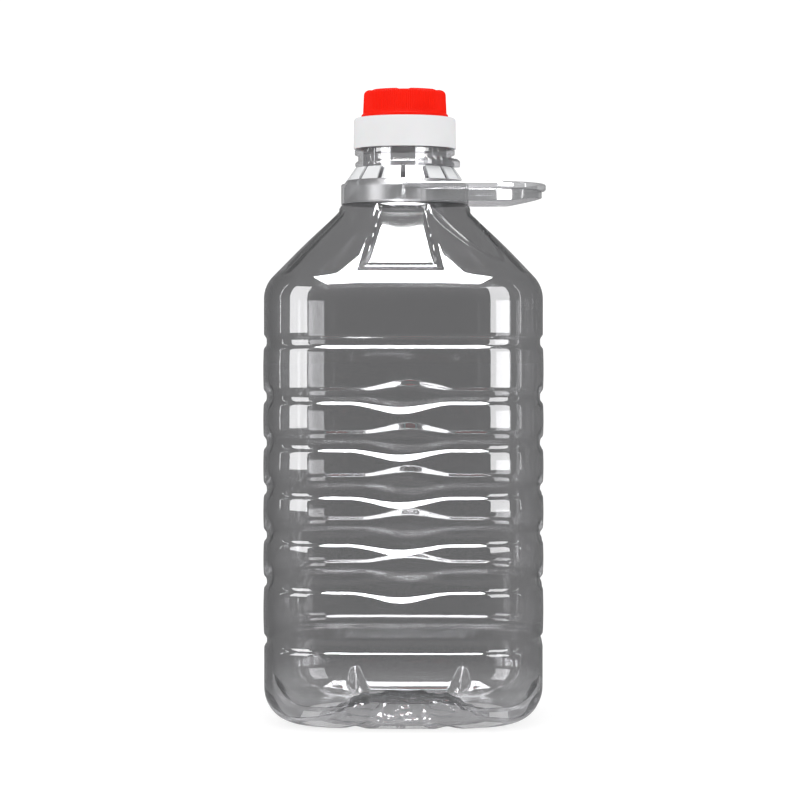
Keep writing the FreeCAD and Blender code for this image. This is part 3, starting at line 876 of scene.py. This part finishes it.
def build_cap():
    """The red cap: a smooth flange, a finely ribbed grip and a scooped, rounded top edge."""
    outline = cap_outline()
    columns = CAP_RIBS * CAP_RIB_COLUMNS
    angles = np.linspace(0, 2 * math.pi, columns, endpoint=False)
    grid = turned_points(outline, angles)
    radius, z = np.hypot(grid[..., 0], grid[..., 1]), grid[..., 2]
    grid[..., :2] *= ((radius - cap_rib_depth(angles, z)) / radius)[..., None]
    grid[..., 2] = np.minimum(z, cap_scoop_z(angles, radius))
    count = len(outline) * columns
    points = np.concatenate([grid.reshape(-1, 3), [[0, 0, CAP_LOW.z], [0, 0, CAP_HIGH.z]]])
    faces = grid_faces(len(outline), columns)
    faces += fan(count, list(range(columns)))
    faces += fan(count + 1, list(range(count - columns, count)), flip=True)
    new_piece("red_cap", points, faces, cap_red, ["top_cap"])


# ---------------------------------------------------------------- the handle

def build_handle_ring():
    """The ring that sits on the shoulder's slope, up to the roots of the fingers."""
    bore = RING_RADIUS - RING_WALL
    cone_at_ring = TIP_BORE + FINGER_WALL + (FINGER_TIP_Z - RING_TOP_Z) * FINGER_LEAN
    corners = [
        (RING_RADIUS, RING_SEAT_Z, 0.3 * MM),
        (RING_RADIUS, RING_TOP_Z, 0.7 * MM),
        (cone_at_ring, RING_TOP_Z, 0.2 * MM),
        (ROOT_BORE + FINGER_WALL, ROOT_Z, 0),
        (ROOT_BORE, ROOT_Z, 0),
        (bore, FINGER_TIP_Z - (bore - TIP_BORE) / FINGER_LEAN, 0.5 * MM),
        (bore, slope_z(bore) + SEAT_GAP, 0.3 * MM),
    ]
    turned_piece("handle_ring", corners, ring_clear, ["handle"], RING_COLUMNS)


def build_fingers():
    """The cone of fingers that catch under the neck's bead, each one its own mesh."""
    corners = [
        (ROOT_BORE + FINGER_WALL, ROOT_Z, 0),
        (TIP_BORE + FINGER_WALL, FINGER_TIP_Z, 0.35 * MM),
        (TIP_BORE, FINGER_TIP_Z, 0.35 * MM),
        (ROOT_BORE, ROOT_Z, 0),
    ]
    pitch = 2 * math.pi / FINGERS
    gap = SLOT_WIDTH / (TIP_BORE + ROOT_BORE)
    for i in range(FINGERS):
        name = f"finger_{i:02d}"
        span = (i * pitch + gap, (i + 1) * pitch - gap)
        turned_piece(name, corners, finger_clear, (), FINGER_COLUMNS, span, 3)


def loop_path(inset):
    """The loop's plan, in from its edge: points and outward directions from ring to ring."""
    end_x = LOOP_REACH - RING_RADIUS
    radius = RING_RADIUS - inset
    reach = RING_RADIUS - RING_WALL / 2
    start_x = math.sqrt(max(reach**2 - radius**2, 0.0))
    along = np.linspace(start_x, end_x, LOOP_SIDE_ROWS, endpoint=False)
    near = [((x, -radius), (0, -1)) for x in along]
    far = [((x, radius), (0, 1)) for x in along[::-1]]
    turn = np.linspace(-math.pi / 2, math.pi / 2, LOOP_END_ROWS)
    outward = [(math.cos(t), math.sin(t)) for t in turn]
    end = [((end_x + radius * out_x, radius * out_y), (out_x, out_y)) for out_x, out_y in outward]
    return near + end + far


def build_loop_band(name, material, inset, width, bottom, top, rounding, lift):
    """A band along the loop, its section a rounded bar, with its lower edge rising at the end."""
    places = [(0, bottom), (0, top), (-width, top), (-width, bottom)]
    outline = supported(rounded_outline([(*place, rounding) for place in places], steps=4))
    path = loop_path(inset)
    points = []
    for (x, y), (out_x, out_y) in path:
        rise = lift * min(max((x - LOOP_REACH + LOOP_LIFT_RUN) / LOOP_LIFT_RUN, 0.0), 1.0)
        for offset, z in outline:
            height = z + rise * (top - z) / (top - bottom)
            points.append((x + out_x * offset, y + out_y * offset, height))
    count = len(outline)
    faces = grid_faces(len(path), count)
    faces.append(list(range(count))[::-1])
    faces.append([len(points) - count + i for i in range(count)])
    new_piece(name, points, faces, material)


def build_loop():
    """The carrying loop: a flat rim over an upright web."""
    rim_z = RING_TOP_Z - RIM_THICKNESS
    web_z = RING_TOP_Z - LOOP_HEIGHT
    build_loop_band("loop_rim", rim_clear, 0.0, RIM_WIDTH, rim_z, RING_TOP_Z, 1.1 * MM, 0.0)
    build_loop_band("loop_web", web_clear, WEB_INSET, WEB_WALL, web_z, rim_z, 0.5 * MM, LOOP_LIFT)


# ---------------------------------------------------------------- stage, lights, camera

def build_floor():
    """A pale floor, not part of the object."""
    mesh = bpy.data.meshes.new("floor")
    signs = ((-1, -1), (1, -1), (1, 1), (-1, 1))
    corners = [(x * FLOOR_REACH, y * FLOOR_REACH, 0) for x, y in signs]
    mesh.from_pydata(corners, [], [(0, 1, 2, 3)])
    floor = bpy.data.objects.new("floor", mesh)
    bpy.context.scene.collection.objects.link(floor)
    floor.visible_glossy = False
    material, nodes, link, output = new_material("floor")
    shader = nodes.new("ShaderNodeBsdfPrincipled")
    shader.inputs["Base Color"].default_value = FLOOR_COLOUR
    shader.inputs["Specular IOR Level"].default_value = 0.0
    shader.inputs["Emission Color"].default_value = WHITE
    shader.inputs["Emission Strength"].default_value = FLOOR_GLOW
    link(shader.outputs[0], output.inputs["Surface"])
    mesh.materials.append(material)


def background(nodes, strength):
    """A white Background node of a strength."""
    node = nodes.new("ShaderNodeBackground")
    node.inputs["Color"].default_value = WHITE
    node.inputs["Strength"].default_value = strength
    return node


def build_world():
    """White all round for the eye, and dim for what the gloss mirrors."""
    world = bpy.data.worlds.new("studio")
    bpy.context.scene.world = world
    world.use_nodes = True
    nodes, link = world.node_tree.nodes, world.node_tree.links.new
    nodes.clear()
    output = nodes.new("ShaderNodeOutputWorld")
    path = nodes.new("ShaderNodeLightPath")
    white, dim = background(nodes, WORLD_WHITE), background(nodes, WORLD_MIRRORED)
    mix = mixed(nodes, link, path.outputs["Is Glossy Ray"], white, dim)
    link(mix.outputs[0], output.inputs["Surface"])


def soft_light(name, place, target, size, radiance, mirrored):
    """A rectangular softbox that is either only mirrored by gloss or only lights matt surfaces."""
    width, height = size
    light = bpy.data.lights.new(name, "AREA")
    light.shape = "RECTANGLE"
    light.size = width
    light.size_y = height
    light.energy = radiance * math.pi * width * height
    lamp = bpy.data.objects.new(name, light)
    lamp.location = place
    lamp.rotation_euler = (Vector(target) - Vector(place)).to_track_quat("-Z", "Y").to_euler()
    bpy.context.scene.collection.objects.link(lamp)
    lamp.visible_camera = False
    lamp.visible_diffuse = not mirrored
    lamp.visible_glossy = mirrored
    lamp.visible_transmission = False


def build_lights():
    """A big softbox overhead and tall strips round the sides for the gloss, and one soft key."""
    below = (*OVERHEAD_PLACE[:2], 0)
    soft_light("overhead", OVERHEAD_PLACE, below, OVERHEAD_SIZE, OVERHEAD_RADIANCE, True)
    for name, azimuth, width, radiance in STRIPS:
        turn = math.radians(azimuth + CAMERA_AZIMUTH)
        place = (STRIP_DISTANCE * math.sin(turn), -STRIP_DISTANCE * math.cos(turn), STRIP_Z)
        soft_light(name, place, (0, 0, STRIP_Z), (width, STRIP_HEIGHT), radiance, True)
    soft_light("key", KEY_PLACE, KEY_TARGET, KEY_SIZE, KEY_RADIANCE, False)


def build_camera():
    """The eye a little above the jug's middle, turned slightly towards the handle's side."""
    data = bpy.data.cameras.new("camera")
    data.sensor_width = CAMERA_SENSOR
    data.lens = CAMERA_LENS
    camera = bpy.data.objects.new("camera", data)
    turn = math.radians(CAMERA_AZIMUTH)
    x, y = CAMERA_DISTANCE * math.sin(turn), -CAMERA_DISTANCE * math.cos(turn)
    camera.location = (x, y, CAMERA_HEIGHT)
    sight = Vector(CAMERA_TARGET) - camera.location
    camera.rotation_euler = sight.to_track_quat("-Z", "Y").to_euler()
    bpy.context.scene.collection.objects.link(camera)
    bpy.context.scene.camera = camera


build_wall()
build_neck()
build_stop()
build_collar()
build_cap()
build_handle_ring()
build_fingers()
build_loop()
build_floor()
build_world()
build_lights()
build_camera()
bpy.context.scene.view_settings.view_transform = "Standard"
# enough for a line of sight to go through every skin of the clear plastic
bpy.context.scene.cycles.transparent_max_bounces = 32
